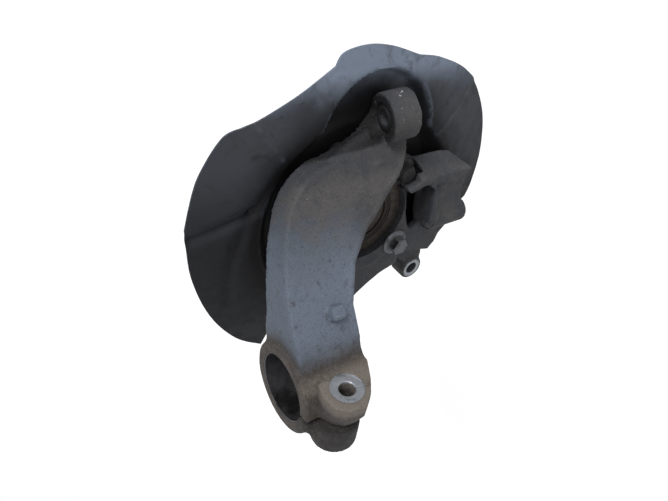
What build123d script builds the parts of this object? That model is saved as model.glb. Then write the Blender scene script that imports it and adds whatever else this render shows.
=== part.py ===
from build123d import *
import math
import os

# Left front steering knuckle of a strut suspension, with its wheel bearing unit and brake dust shield.
# Frame: +X forward, +Y outboard along the wheel axis, +Z up. Millimetres.
# Origin: on the wheel axis, in the machined face of the knuckle that the bearing unit bolts against.

# ---------- driving dimensions ----------
# outer ring of the bearing unit, which the hub carrier is bored for
RING_R = 40.6
RING_FIT = 0.4
BOLT_FROM_RING = 10.4
# hub carrier, the ring of the casting round the bearing
BORE_R = RING_R + RING_FIT
CARRIER_WALL = 16.0
CARRIER_R = BORE_R + CARRIER_WALL
CARRIER_INNER_Y = -27.0
BOLT_CIRCLE_R = RING_R + BOLT_FROM_RING
BOLT_ANGLES = (137, 227, 317)
SUNK_BOLT_ANGLE = 317
SUNK_SEAT_Y = -20.0
BOLT_R = 6.0
BOLT_HOLE_R = 6.6
BOLT_LENGTH = 40.0
BOLT_SEAT_R = 14.0
BOLT_FLANGE_R = 12.7
BOLT_HEX_R = 7.5
BOLT_COLUMN_R = 14.5
# strut clamp
STRUT_X = -81.8
STRUT_Y = -92.7
STRUT_R = 27.5
CLAMP_R = 37.7
CLAMP_LOW = 58.5
CLAMP_TOP = 117.0
SLIT_X = -84.0
SLIT_WIDTH = 4.0
# pinch bolt lugs on the clamp
PINCH_Y = -135.1
PINCH_Z = 88.1
PINCH_HOLE_R = 6.4
PINCH_FACE_R = 13.0
PINCH_FACE_DEPTH = 1.0
LUG_FACE_X = -52.0
LUG_REAR_X = -108.0
LUG_REAR_R = 18.5
# steering arm eye
EYE_X = 89.9
EYE_Y = -18.4
EYE_TOP = -4.0
EYE_AXIS = (-0.15, 0.14, 1.0)
EYE_HEIGHT = 24.0
EYE_R = 20.0
EYE_HOLE_R = 6.4
EYE_SEAT_R = 13.0
EYE_SEAT_DEPTH = 1.5
# caliper ears
EAR_CIRCLE_R = 126.0
EAR_ANGLES = (157, 222)
EAR_R = 13.2
EAR_HOLE_R = 6.5
EAR_FACE_Y = -14.7
EAR_BACK_Y = 4.0
# lower ball joint seat
PIN_X = -17.0
PIN_Y = -27.5
PIN_R = 6.5
PIN_BOSS_R = 12.0
PIN_LOW = -113.0
PIN_DEPTH = 36.0
# dust shield
SHEET = 1.2
SHIELD_SEAT_R = 86.0
SHIELD_RIDGE_R = 97.0
SHIELD_RIDGE_Y = -13.0
SHIELD_DISH_Y = 2.5
SHIELD_DISH_R = 52.0
SHIELD_CLAMP_R = 74.0
SHIELD_RIM_R = 175.0
SHIELD_RIM_Y = 0.0
SCREW_FROM_CARRIER = 5.0
SCREW_CIRCLE_R = CARRIER_R + SCREW_FROM_CARRIER
SCREW_ANGLES = (22, 92, 200)
SCREW_R = 2.6
SCREW_HOLE_R = 3.3
SCREW_HEAD_R = 6.0
SCREW_BOSS_R = 9.0
# bearing unit
RING_END_Y = -20.0
RING_OUT_Y = 30.0
RING_BORE_R = 30.5
NOSE_STEP = 3.1
RING_NOSE_R = RING_R - NOSE_STEP
UNIT_FLANGE = 12.0
UNIT_FLANGE_LIP = 7.4
UNIT_FLANGE_R = RING_R + UNIT_FLANGE_LIP
UNIT_LOBE_R = 11.5
RACE_R = 28.5
BALL_SIZE_R = 6.0
BALL_COUNT = 11
ROW_YS = {"inboard": -7.0, "outboard": 16.0}
RUN_GAP = 0.3
HUB_FLANGE_Y = 34.0
HUB_FLANGE = 10.0
HUB_FLANGE_R = 67.0
STUD_CIRCLE_R = 54.0
STUD_COUNT = 5
STUD_R = 6.0
STUD_KNURL_R = 6.4
STUD_LENGTH = 26.0
STUD_HEAD_R = 8.5
STUD_HEAD = 3.5
PILOT_R = 31.7
SPLINE_BORE_R = 12.5
SHAFT_R = 17.0
SHOULDER_R = 24.0


# ---------- helpers ----------
def polar(radius, degrees):
    """A point in the XZ plane, by its angle from +X towards +Z."""
    angle = math.radians(degrees)
    return radius * math.cos(angle), radius * math.sin(angle)


def bolt_seat_y(angle):
    """Where a hub bolt's head bears: one bolt sits deeper, in the recess beside the steering arm."""
    return SUNK_SEAT_Y if angle == SUNK_BOLT_ANGLE else CARRIER_INNER_Y


def side_block(face, y_inboard, y_outboard):
    """A flat face drawn in X and Z, thickened between two depths along the wheel axis."""
    plane = Plane(origin=(0, y_outboard, 0), x_dir=(1, 0, 0), z_dir=(0, -1, 0))
    return extrude(plane * face, y_outboard - y_inboard)


def plan_block(face, z_low, z_high):
    """A flat face drawn in X and Y, thickened upwards."""
    return extrude(Pos(0, 0, z_low) * face, z_high - z_low)


def wheel_cylinder(radius, y_inboard, y_outboard, x=0.0, z=0.0):
    """A cylinder parallel to the wheel axis."""
    disc = Pos(x, z) * Circle(radius)
    return side_block(disc, y_inboard, y_outboard)


def fore_cylinder(radius, x_rear, x_front, y, z):
    """A cylinder parallel to the X axis."""
    plane = Plane(origin=(x_rear, y, z), x_dir=(0, 1, 0), z_dir=(1, 0, 0))
    return extrude(plane * Circle(radius), x_front - x_rear)


def upright_cylinder(radius, z_low, z_high, x, y):
    """A cylinder parallel to the Z axis."""
    return plan_block(Pos(x, y) * Circle(radius), z_low, z_high)


def polygon(*points):
    return make_face(Polyline(*points, close=True))


def turned(*points):
    """A body of revolution about the wheel axis, from (radius, y) corners."""
    outline = make_face(Polyline(*points, close=True))
    return revolve(outline, Axis.Y)


# ---------- knuckle casting ----------
def neck_and_arm():
    """The curved wall from the strut clamp down to the steering arm, seen from above and from the side."""
    face_bend = ThreePointArc((-69, -121), (-45, -111), (-20, -95.5))
    face_run = Line((-20, -95.5), (72, -26))
    front_end = Line((72, -26), (90, 0))
    rear_run = Line((90, 0), (6, -44))
    rear_bend = ThreePointArc((6, -44), (-19, -54), (-46, -58))
    rear_root = Line((-46, -58), (-74, -66))
    clamp_end = Line((-74, -66), (-69, -121))
    plan = make_face(Curve() + [face_bend, face_run, front_end, rear_run, rear_bend, rear_root, clamp_end])
    top_run = Line((-76, 115.5), (-20, 113))
    top_bend = ThreePointArc((-20, 113), (12, 107), (38, 96))
    shoulder = ThreePointArc((38, 96), (58, 76), (66, 50))
    arm_top = ThreePointArc((66, 50), (76, 18), (92, -7))
    arm_tip = Line((92, -7), (92, -27))
    arm_low = Line((92, -27), (74, -28))
    arm_bend = ThreePointArc((74, -28), (58, -20), (43, 0))
    low_run = Line((43, 0), (25, 28))
    low_bend = ThreePointArc((25, 28), (7, 49), (-20, 58))
    low_root = Line((-20, 58), (-76, 60))
    neck_root = Line((-76, 60), (-76, 115.5))
    side = make_face(Curve() + [top_run, top_bend, shoulder, arm_top, arm_tip, arm_low, arm_bend, low_run,
                                low_bend, low_root, neck_root])
    wall = plan_block(plan, -40, 130) & side_block(side, -140, 10)
    root = polygon((60, -10), (44, 0), (24, 32), (8, 53), (14, 60), (36, 50), (54, 32), (64, 4))
    return wall + side_block(root, -36, -17)


def clamp_body():
    """Ring round the strut with its two pinch lugs, before the bore and the slit are cut."""
    ring = upright_cylinder(CLAMP_R, CLAMP_LOW, CLAMP_TOP, STRUT_X, STRUT_Y)
    toward_front = Plane(origin=(0, 0, 0), x_dir=(0, 1, 0), z_dir=(1, 0, 0))
    face_outline = polygon((-104, 104), (-120, 105), (-133, 108), (-146, 106), (-153, 98), (-155, 85),
                           (-147, 75), (-136, 67), (-120, CLAMP_LOW), (-104, 60))
    slit_outline = polygon((-104, 110), (-118, 109), (-130, 105), (-139, 100), (-145, 93), (-146, 84),
                           (-142, 76), (-134, 69), (-120, 64), (-104, 64))
    lug_plate = extrude(Pos(LUG_FACE_X - 12, 0, 0) * (toward_front * face_outline), 12)
    lug_root = loft([Pos(SLIT_X, 0, 0) * (toward_front * slit_outline),
                     Pos(LUG_FACE_X - 12, 0, 0) * (toward_front * face_outline)])
    lug_rear = fore_cylinder(LUG_REAR_R, LUG_REAR_X, SLIT_X + 1, PINCH_Y + 3, PINCH_Z + 3)
    web_outline = polygon((-100, 114), (-122, 113), (-136, 108), (-136, 74), (-122, 66), (-100, 64))
    rear_web = extrude(Pos(LUG_REAR_X + 5, 0, 0) * (toward_front * web_outline), SLIT_X - LUG_REAR_X - 4.5)
    return ring + lug_plate + lug_root + lug_rear + rear_web


def carrier_body():
    """Ring round the bearing, with a column at each bearing bolt and a small boss at each shield screw."""
    body = wheel_cylinder(CARRIER_R, CARRIER_INNER_Y, 0)
    for angle in BOLT_ANGLES:
        x, z = polar(BOLT_CIRCLE_R, angle)
        body += wheel_cylinder(BOLT_COLUMN_R, CARRIER_INNER_Y, 0, x, z)
    for angle in SCREW_ANGLES:
        x, z = polar(SCREW_CIRCLE_R, angle)
        body += wheel_cylinder(SCREW_BOSS_R, -18, 0, x, z)
    return body


def caliper_bracket():
    """Web behind the carrier, cut by the round clearance for the caliper, with a boss at each ear."""
    upper_x, upper_z = polar(EAR_CIRCLE_R, EAR_ANGLES[0])
    lower_x, lower_z = polar(EAR_CIRCLE_R, EAR_ANGLES[1])
    middle = polygon((-20, 54), (-92, 62), (-104, 30), (-104, 4), (-92, -9), (-84, -20), (-76, -33),
                     (-70, -52), (-20, -50))
    upper = polygon((-84, 61), (-116, 62), (-127, 46), (-118, 34), (-102, 6), (-84, 10))
    lower = polygon((-66, -44), (-74, -62), (-84, -74), (-98, -92), (-80, -96), (-58, -92), (-30, -54))
    web = side_block(middle, -22, -4) + side_block(upper, -12, -3) + side_block(lower, -12, -3)
    web += wheel_cylinder(EAR_R, EAR_FACE_Y, EAR_BACK_Y, upper_x, upper_z)
    web += wheel_cylinder(EAR_R, EAR_FACE_Y, EAR_BACK_Y, lower_x, lower_z)
    return web


def lower_arm():
    """Deep block below the bearing that carries the ball joint, with its front wall, rib and thick column."""
    base = polygon((54, -6), (50, -58), (42, -92), (32, -104), (8, -105), (-16, PIN_LOW), (-38, -107), (-46, -100),
                   (-56, -97), (-64, -90), (-50, -40), (0, -40))
    rib = polygon((20, 4), (22, -16), (25, -28), (28, -40), (33, -56), (44, -58), (36, -36), (32, -18), (29, 4))
    front_wall = polygon((33, -40), (50, -42), (52, -58), (46, -88), (36, -102), (26, -86), (30, -50))
    foot = polygon((44, -64), (40, -92), (34, -101), (10, -99), (-14, -110), (-19, -107), (-25, -90),
                   (-22, -64), (8, -60))
    body = side_block(base, -24, -16.5) + side_block(rib, -41, -17) + side_block(front_wall, -40, -17)
    body += side_block(foot, -37, -16.5)
    body += upright_cylinder(PIN_BOSS_R, PIN_LOW, PIN_LOW + PIN_DEPTH + 6, PIN_X, PIN_Y)
    # the front wall leans back towards its inboard edge
    body -= plan_block(polygon((35, -44), (50, -14), (90, -14), (90, -60), (35, -60)), -120, -41)
    column_axis = Plane(origin=(-12, -33, -67), z_dir=(42, -3, 13))
    column = column_axis * Cone(11, 6.5, 42, align=(Align.CENTER, Align.CENTER, Align.MIN))
    return body + column + side_block(Pos(25, -70) * Circle(5), -37, -30)


def knuckle():
    body = carrier_body() + caliper_bracket() + lower_arm() + neck_and_arm() + clamp_body()
    eye = Plane(origin=(EYE_X, EYE_Y, EYE_TOP), z_dir=EYE_AXIS)
    body += extrude(eye * Circle(EYE_R), -EYE_HEIGHT)
    # square casting lug on the neck
    lug = Plane(origin=(-18, -94, 76), x_dir=(0.79, 0.61, 0), z_dir=(0.61, -0.79, 0))
    body += extrude(lug * RectangleRounded(11, 12, 2), 7) + extrude(lug * RectangleRounded(11, 12, 2), -6)
    # machined bores and faces
    body -= upright_cylinder(STRUT_R, CLAMP_LOW - 60, CLAMP_TOP + 20, STRUT_X, STRUT_Y)
    body -= Pos(SLIT_X, STRUT_Y - 50, 88) * Box(SLIT_WIDTH, 100, 90)
    body -= fore_cylinder(PINCH_HOLE_R, LUG_REAR_X - 10, LUG_FACE_X + 10, PINCH_Y, PINCH_Z)
    body -= fore_cylinder(PINCH_FACE_R, LUG_FACE_X - PINCH_FACE_DEPTH, LUG_FACE_X + 40, PINCH_Y, PINCH_Z)
    body -= extrude(eye * Circle(EYE_HOLE_R), 60, both=True)
    body -= extrude(eye.offset(-EYE_SEAT_DEPTH) * Circle(EYE_SEAT_R), 30)
    body -= wheel_cylinder(BORE_R, -42, 20)
    recess = polygon((30, -12), (46, -14), (58, -26), (56, -41), (34, -40), (31, -28))
    body -= side_block(recess, -60, SUNK_SEAT_Y)
    for angle in BOLT_ANGLES:
        x, z = polar(BOLT_CIRCLE_R, angle)
        seat_y = bolt_seat_y(angle)
        body -= wheel_cylinder(BOLT_HOLE_R, seat_y - 12, 20, x, z)
        body -= wheel_cylinder(BOLT_SEAT_R, seat_y - 12, seat_y, x, z)
    for angle in EAR_ANGLES:
        x, z = polar(EAR_CIRCLE_R, angle)
        body -= wheel_cylinder(EAR_HOLE_R, -60, 20, x, z)
    for angle in SCREW_ANGLES:
        x, z = polar(SCREW_CIRCLE_R, angle)
        body -= wheel_cylinder(SCREW_R, -12, 20, x, z)
    # foundry pocket above the ball joint and the ball joint seat below it
    pocket = polygon((-4, -45), (-20, -50), (-28, -58), (-24, -66), (-10, -61), (10, -59), (24, -60), (29, -52),
                     (26, -40), (20, -34), (12, -42))
    body -= side_block(pocket, -60, -12)
    body -= upright_cylinder(PIN_R, PIN_LOW - 40, PIN_LOW + PIN_DEPTH, PIN_X, PIN_Y)
    return body


# ---------- dust shield ----------
def pan_fill(inset):
    """Everything outboard of the shield's inboard surface, moved outboard and inwards by inset."""
    seat_y = inset
    ridge_y = SHIELD_RIDGE_Y + inset
    rim_y = SHIELD_RIM_Y + inset
    back_y = 30
    fill = turned(
        (0, seat_y), (SHIELD_SEAT_R + inset, seat_y), (SHIELD_RIDGE_R, ridge_y), (SHIELD_RIDGE_R + 8, ridge_y),
        (SHIELD_RIM_R, rim_y), (SHIELD_RIM_R, back_y), (0, back_y),
    )
    dish = wheel_cylinder(SHIELD_DISH_R + inset, -40, SHIELD_DISH_Y + inset, EYE_X - 20, EYE_Y + 10)
    dish -= wheel_cylinder(SHIELD_CLAMP_R - inset, -50, 10)
    return fill - dish


def dust_shield():
    top_lobe = Spline((20, 154), (58, 144), (88, 125), (95, 110))
    step_in = Spline((95, 110), (101, 93), (114, 67), (131, 38))
    front_lobe = Spline((131, 38), (140, 31), (144, 10), (141, -14), (132, -42))
    low_lobe = Spline((132, -42), (127, -68), (111, -104), (77, -134), (32, -151), (-6, -153), (-26, -148))
    cut_low = Polyline((-26, -148), (-40, -116), (-44, -62))
    cut_mid = ThreePointArc((-44, -62), (-74, 10), (-61, 67))
    cut_high = Polyline((-61, 67), (-104, 76), (-136, 85))
    rear_lobe = Spline((-136, 85), (-115, 111), (-75, 136), (-26, 151), (20, 154))
    edge = make_face(Curve() + [top_lobe, step_in, front_lobe, low_lobe, cut_low, cut_mid, cut_high, rear_lobe])
    sheet = (pan_fill(0) - pan_fill(SHEET)) & side_block(edge, -40, 12)
    sheet -= wheel_cylinder(RING_R + 0.4, -40, 10)
    for angle in BOLT_ANGLES:
        x, z = polar(BOLT_CIRCLE_R, angle)
        sheet -= wheel_cylinder(BOLT_HOLE_R, -10, 10, x, z)
    for angle in SCREW_ANGLES:
        x, z = polar(SCREW_CIRCLE_R, angle)
        sheet -= wheel_cylinder(SCREW_HOLE_R, -10, 10, x, z)
    return sheet


# ---------- bearing unit ----------
def ball_groove(row_y):
    """The ring-shaped track that one row of balls runs in, with its running gap."""
    section = Pos(RACE_R, row_y) * Circle(BALL_SIZE_R + RUN_GAP)
    return revolve(section, Axis.Y)


def bearing_outer_ring():
    flange_y = SHEET
    ring = turned((RING_BORE_R, RING_END_Y), (RING_R, RING_END_Y), (RING_R, 20), (RING_NOSE_R, 22),
                  (RING_NOSE_R, RING_OUT_Y), (RING_BORE_R, RING_OUT_Y))
    flange = wheel_cylinder(UNIT_FLANGE_R, flange_y, flange_y + UNIT_FLANGE)
    for angle in BOLT_ANGLES:
        x, z = polar(BOLT_CIRCLE_R, angle)
        flange += wheel_cylinder(UNIT_LOBE_R, flange_y, flange_y + UNIT_FLANGE, x, z)
    body = ring + (flange - wheel_cylinder(35, -10, 40))
    for angle in BOLT_ANGLES:
        x, z = polar(BOLT_CIRCLE_R, angle)
        body -= wheel_cylinder(BOLT_R, -10, 30, x, z)
    for row_y in ROW_YS.values():
        body -= ball_groove(row_y)
    return body


def wheel_hub():
    flange_back = HUB_FLANGE_Y + HUB_FLANGE
    body = turned(
        (SPLINE_BORE_R, -19), (SHAFT_R, -19), (SHAFT_R, 3), (SHOULDER_R, 3), (SHOULDER_R, 30),
        (30, HUB_FLANGE_Y), (HUB_FLANGE_R, HUB_FLANGE_Y), (HUB_FLANGE_R, flange_back), (PILOT_R, flange_back),
        (PILOT_R, flange_back + 11), (PILOT_R - 6, flange_back + 11), (PILOT_R - 7, flange_back - 4),
        (SPLINE_BORE_R, flange_back - 6),
    )
    for index in range(STUD_COUNT):
        x, z = polar(STUD_CIRCLE_R, 90 + 360 * index / STUD_COUNT)
        body -= wheel_cylinder(STUD_KNURL_R, HUB_FLANGE_Y - 10, flange_back + 10, x, z)
    return body - ball_groove(ROW_YS["outboard"])


def bearing_inner_ring():
    body = turned((SHAFT_R, -18), (SHOULDER_R, -18), (SHOULDER_R, 3), (SHAFT_R, 3))
    return body - ball_groove(ROW_YS["inboard"])


def ball_row(row_y):
    balls = []
    for index in range(BALL_COUNT):
        x, z = polar(RACE_R, 360 * index / BALL_COUNT)
        balls.append(Pos(x, row_y, z) * Sphere(BALL_SIZE_R))
    return Compound(balls)


def ball_cage(row_y):
    body = turned((27.4, row_y - 8), (29.6, row_y - 8), (29.6, row_y + 8), (27.4, row_y + 8))
    for index in range(BALL_COUNT):
        x, z = polar(1, 360 * index / BALL_COUNT)
        pocket = Plane(origin=(0, row_y, 0), z_dir=(x, 0, z)) * Circle(BALL_SIZE_R + RUN_GAP)
        body -= extrude(pocket, RACE_R + 10)
    return body


def bearing_seal(y_inboard, y_outboard):
    gap_r = SHOULDER_R + RUN_GAP
    return turned((gap_r, y_inboard), (RING_BORE_R, y_inboard), (RING_BORE_R, y_outboard), (gap_r, y_outboard))


# ---------- fasteners ----------
def hub_bolt(angle):
    """Flanged hexagon bolt, from the carrier's inboard side into the bearing unit's flange."""
    x, z = polar(BOLT_CIRCLE_R, angle)
    face = bolt_seat_y(angle)
    body = wheel_cylinder(BOLT_R, face, face + BOLT_LENGTH, x, z)
    body += wheel_cylinder(BOLT_FLANGE_R, face - 2.5, face, x, z)
    hexagon = Pos(x, z) * RegularPolygon(BOLT_HEX_R, 6, major_radius=False)
    return body + side_block(hexagon, face - 10.5, face)


def wheel_stud(index):
    """Stud with a flat head behind the hub's flange and a thicker knurl pressed into it."""
    x, z = polar(STUD_CIRCLE_R, 90 + 360 * index / STUD_COUNT)
    flange_back = HUB_FLANGE_Y + HUB_FLANGE
    body = wheel_cylinder(STUD_HEAD_R, HUB_FLANGE_Y - STUD_HEAD, HUB_FLANGE_Y, x, z)
    body += wheel_cylinder(STUD_KNURL_R, HUB_FLANGE_Y, flange_back, x, z)
    return body + wheel_cylinder(STUD_R, flange_back, flange_back + STUD_LENGTH, x, z)


def shield_screw(angle):
    x, z = polar(SCREW_CIRCLE_R, angle)
    body = wheel_cylinder(SCREW_R, -10, SHEET, x, z)
    return body + wheel_cylinder(SCREW_HEAD_R, SHEET, SHEET + 3.5, x, z)


# ---------- write the parts ----------
os.makedirs("parts", exist_ok=True)
parts = {
    "knuckle": knuckle(),
    "dust_shield": dust_shield(),
    "bearing_outer_ring": bearing_outer_ring(),
    "wheel_hub": wheel_hub(),
    "bearing_inner_ring": bearing_inner_ring(),
    "seal_inboard": bearing_seal(-19.5, -16.5),
    "seal_outboard": bearing_seal(25.5, 29),
}
for side, row_y in ROW_YS.items():
    parts[f"balls_{side}"] = ball_row(row_y)
    parts[f"ball_cage_{side}"] = ball_cage(row_y)
for number, angle in enumerate(BOLT_ANGLES, start=1):
    parts[f"hub_bolt_{number}"] = hub_bolt(angle)
for number in range(STUD_COUNT):
    parts[f"wheel_stud_{number + 1}"] = wheel_stud(number)
for number, angle in enumerate(SCREW_ANGLES, start=1):
    parts[f"shield_screw_{number}"] = shield_screw(angle)
for name, shape in parts.items():
    export_step(shape, f"parts/{name}.step")
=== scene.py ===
# %% [markdown]
# # A worn steering knuckle with its wheel bearing and dust shield
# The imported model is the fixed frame: every piece here is drawn in its metres and rides on one of its bodies.
# The casting is made the way a foundry makes it. First comes a soft, rounded blank, and then crisp machining.

# %% Load the frame
import math

import bmesh
import bpy
from mathutils import Matrix, Vector, noise


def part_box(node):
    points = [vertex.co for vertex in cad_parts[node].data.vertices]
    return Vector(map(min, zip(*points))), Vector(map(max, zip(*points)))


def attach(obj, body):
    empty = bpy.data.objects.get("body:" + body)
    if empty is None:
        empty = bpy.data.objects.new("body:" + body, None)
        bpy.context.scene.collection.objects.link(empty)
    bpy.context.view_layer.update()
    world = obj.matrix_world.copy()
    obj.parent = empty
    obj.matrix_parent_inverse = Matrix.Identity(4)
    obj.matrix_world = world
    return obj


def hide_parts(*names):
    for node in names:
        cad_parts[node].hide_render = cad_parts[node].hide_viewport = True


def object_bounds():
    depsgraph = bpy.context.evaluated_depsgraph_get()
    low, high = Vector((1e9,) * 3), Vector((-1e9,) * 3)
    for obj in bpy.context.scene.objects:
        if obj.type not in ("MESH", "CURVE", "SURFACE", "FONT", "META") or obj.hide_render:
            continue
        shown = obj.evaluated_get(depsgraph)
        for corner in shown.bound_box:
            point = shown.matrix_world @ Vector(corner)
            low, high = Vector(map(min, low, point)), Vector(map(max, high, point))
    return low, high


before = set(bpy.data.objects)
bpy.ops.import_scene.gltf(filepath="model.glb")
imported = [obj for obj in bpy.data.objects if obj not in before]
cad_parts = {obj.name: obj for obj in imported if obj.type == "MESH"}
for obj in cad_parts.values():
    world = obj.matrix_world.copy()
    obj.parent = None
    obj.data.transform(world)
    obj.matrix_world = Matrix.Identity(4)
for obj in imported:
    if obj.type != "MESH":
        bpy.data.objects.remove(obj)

MM = 0.001
cad_low, cad_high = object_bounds()
scene = bpy.context.scene

# %% [markdown]
# ## Small shape helpers
# Machined features are rods and turned rings, so two helpers make them all. A rod is a cone between two
# points, and a turned ring is a profile of radius and height that is spun about an axis.

# %% Shape helpers
def place_along(origin, direction):
    """Matrix that puts local Z along a direction, at an origin given in millimetres."""
    turn = Vector(direction).to_track_quat("Z", "Y").to_matrix().to_4x4()
    return Matrix.Translation(Vector(origin) * MM) @ turn


def rod(bm, start, end, radius, end_radius=None, segments=72):
    """A capped cone or cylinder between two points, all in millimetres."""
    start = Vector(start)
    end = Vector(end)
    place = place_along((start + end) / 2, end - start)
    tip = radius if end_radius is None else end_radius
    bmesh.ops.create_cone(bm, cap_ends=True, segments=segments, radius1=radius * MM, radius2=tip * MM,
                          depth=(end - start).length * MM, matrix=place)


def turned(bm, profile, origin=(0, 0, 0), direction=(0, 1, 0), segments=96):
    """Spins (radius, height) corners in millimetres about an axis. A run with both ends on it stays open."""
    place = place_along(origin, direction)
    points = [bm.verts.new(place @ Vector((radius * MM, 0, height * MM))) for radius, height in profile]
    pairs = list(zip(points, points[1:]))
    if profile[0][0] or profile[-1][0]:
        pairs.append((points[-1], points[0]))
    edges = [bm.edges.new(pair) for pair in pairs]
    axis = place.to_3x3() @ Vector((0, 0, 1))
    bmesh.ops.spin(bm, geom=points + edges, cent=Vector(origin) * MM, axis=axis, angle=math.tau,
                   steps=segments, use_merge=True)
    bmesh.ops.remove_doubles(bm, verts=bm.verts, dist=2e-6)


def block(bm, low, high):
    """A box between two corners in millimetres."""
    low = Vector(low)
    high = Vector(high)
    size = Matrix.Diagonal(((high - low) * MM).to_4d())
    bmesh.ops.create_cube(bm, size=1, matrix=Matrix.Translation((low + high) / 2 * MM) @ size)


def prism(bm, corners, depth):
    """A slab on a flat outline of points, carried along a vector, in millimetres."""
    face = bm.faces.new([bm.verts.new(Vector(corner) * MM) for corner in corners])
    grown = bmesh.ops.extrude_face_region(bm, geom=[face])
    tops = [item for item in grown["geom"] if isinstance(item, bmesh.types.BMVert)]
    bmesh.ops.translate(bm, verts=tops, vec=Vector(depth) * MM)


def to_object(name, bm, sharp_degrees=35):
    """Finishes a bmesh as an object at the origin, with smooth shading between sharp edges."""
    bmesh.ops.recalc_face_normals(bm, faces=bm.faces)
    mesh = bpy.data.meshes.new(name)
    bm.to_mesh(mesh)
    bm.free()
    mesh.shade_smooth()
    mesh.set_sharp_from_angle(angle=math.radians(sharp_degrees))
    piece = bpy.data.objects.new(name, mesh)
    scene.collection.objects.link(piece)
    print(name, len(mesh.polygons), "faces")
    return piece


def apply_modifiers(piece, sharp_degrees=35):
    """Replaces a piece's mesh by what its modifiers make of it."""
    graph = bpy.context.evaluated_depsgraph_get()
    mesh = bpy.data.meshes.new_from_object(piece.evaluated_get(graph))
    piece.modifiers.clear()
    piece.data = mesh
    mesh.shade_smooth()
    mesh.set_sharp_from_angle(angle=math.radians(sharp_degrees))


def polar(radius, degrees):
    """X and Z of a point round the wheel axis, by its angle from +X towards +Z."""
    angle = math.radians(degrees)
    return radius * math.cos(angle), radius * math.sin(angle)


# %% [markdown]
# ## The casting, first as a blank
# Sand casting rounds every edge and fills every corner. A voxel remesh welds overlapping closed shapes into
# one skin, and smoothing that skin gives the fillets. The holes are plugged first, because in the foundry
# they are not there yet: they are cut afterwards, so their edges stay sharp.

# %% Machined features of the knuckle
STRUT = (-81.8, -92.7)
STRUT_R = 27.5
CLAMP_Z = (58.5, 117.0)
SLIT_X = -84.0
SLIT_HALF = 1.6
PINCH = (-135.1, 88.1)
PINCH_R = 6.4
PINCH_FACE_R = 13.0
LUG_X = (-108.0, -53.0)
SLIT_PLUG = [(-106, 108), (-118, 107), (-129, 103.5), (-138, 98.5), (-143.5, 92), (-144.5, 85), (-141, 77),
             (-133, 70.5), (-120, 66), (-106, 66)]
PIN = (-17.0, -27.5)
PIN_Z = (-113.0, -77.0)
PIN_R = 6.5
EYE = Vector((89.9, -18.4, -4.0))
EYE_UP = Vector((-0.15, 0.14, 1.0)).normalized()
EYE_HOLE_R = 6.4
EARS = [polar(126.0, 157), polar(126.0, 222)]
EAR_Y = (-14.7, 4.0)
EAR_HOLE_R = 6.5
BORE_R = 41.0
CARRIER_Y = -27.0
BOLTS = [(polar(51.0, 137), -27.0), (polar(51.0, 227), -27.0), (polar(51.0, 317), -20.0)]
BOLT_HOLE_R = 6.6
BOLT_SEAT_R = 14.0
SCREWS = [polar(62.0, angle) for angle in (22, 92, 200)]
SCREW_R = 2.6
SCREW_HOLE_R = 3.3
SCREW_DEPTH = 12.0
# a plug stops this far inside the face, and is this much wider than its hole
INSET = 0.3
SPARE = 1.5
EYE_PLUG_LENGTH = 23.7
SCREW_PLUG_R = 4


def plug_holes(bm):
    """Fills the machined holes of the blank."""
    rod(bm, (*STRUT, CLAMP_Z[0] + INSET), (*STRUT, CLAMP_Z[1] - INSET), STRUT_R + SPARE)
    prism(bm, [(SLIT_X - 3, y, z) for y, z in SLIT_PLUG], (6, 0, 0))
    rod(bm, (*PIN, PIN_Z[0] + INSET), (*PIN, PIN_Z[1] + 3), PIN_R + SPARE)
    rod(bm, (LUG_X[0] + INSET, *PINCH), (LUG_X[1] - INSET, *PINCH), PINCH_R + SPARE)
    rod(bm, EYE - EYE_UP * EYE_PLUG_LENGTH, EYE - EYE_UP * INSET, EYE_HOLE_R + 8)
    rod(bm, (0, CARRIER_Y, 0), (0, 0, 0), BORE_R + 2, segments=96)
    for x, z in EARS:
        rod(bm, (x, EAR_Y[0] + INSET, z), (x, EAR_Y[1] - INSET, z), EAR_HOLE_R + SPARE)
    for (x, z), seat in BOLTS:
        rod(bm, (x, seat, z), (x, 0, z), BOLT_HOLE_R + SPARE)
    for x, z in SCREWS:
        rod(bm, (x, -(SCREW_DEPTH + 2), z), (x, 0, z), SCREW_PLUG_R)


# %% [markdown]
# The arm also carries casting detail that the plain model leaves out: a raised lip along the edge of its
# face, a short ridge of flash on its shoulder, where two halves of the mould met, and the fillets that join
# the arm to its eye. Each is a run of rods laid into the skin, which the remesh then melts into it.

# %% Casting detail
def bead(bm, points, radius):
    """A run of short overlapping rods, which the remesh melts into one soft rib."""
    for start, end in zip(points, points[1:]):
        rod(bm, start, end, radius, segments=16)
        bmesh.ops.create_icosphere(bm, subdivisions=2, radius=radius * MM,
                                   matrix=Matrix.Translation(Vector(end) * MM))


def face_point(x, z, lift=0.0):
    """A point on the flat inboard face of the arm, which runs straight in plan."""
    start = Vector((-20.0, -95.5))
    end = Vector((72.0, -26.0))
    share = (x - start.x) / (end.x - start.x)
    out = Vector((0.603, -0.798)) * lift
    return x + out.x, start.y + (end.y - start.y) * share + out.y, z


def casting_detail(bm):
    """Soft ribs, fillets and flash that are welded into the blank."""
    lip = ((64, -20), (56, -14), (45, 2), (34, 18), (25, 33), (8, 50), (-14, 60))
    bead(bm, [face_point(x, z, -2.2) for x, z in lip], 3.4)
    gusset = [(84, -12, -14), (78, -17, 4), (70, -20, 26), (62, -24, 44)]
    bead(bm, gusset, 6.5)
    bead(bm, [(76, -24, -24), (84, -24, -18), (86, -28, -10)], 5.5)
    bead(bm, [face_point(52, 82, -3.0), face_point(56, 76, -2.6), face_point(60, 68, -3.0)], 3.2)
    # a small round boss on the lower arm, and a short ridge under the clamp's front lug
    rod(bm, (25, -31, -70), (25, -38.5, -70), 5.2, 4.2, segments=32)
    bead(bm, [(-60, -112, 64), (-58, -116, 72)], 3.0)


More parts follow.
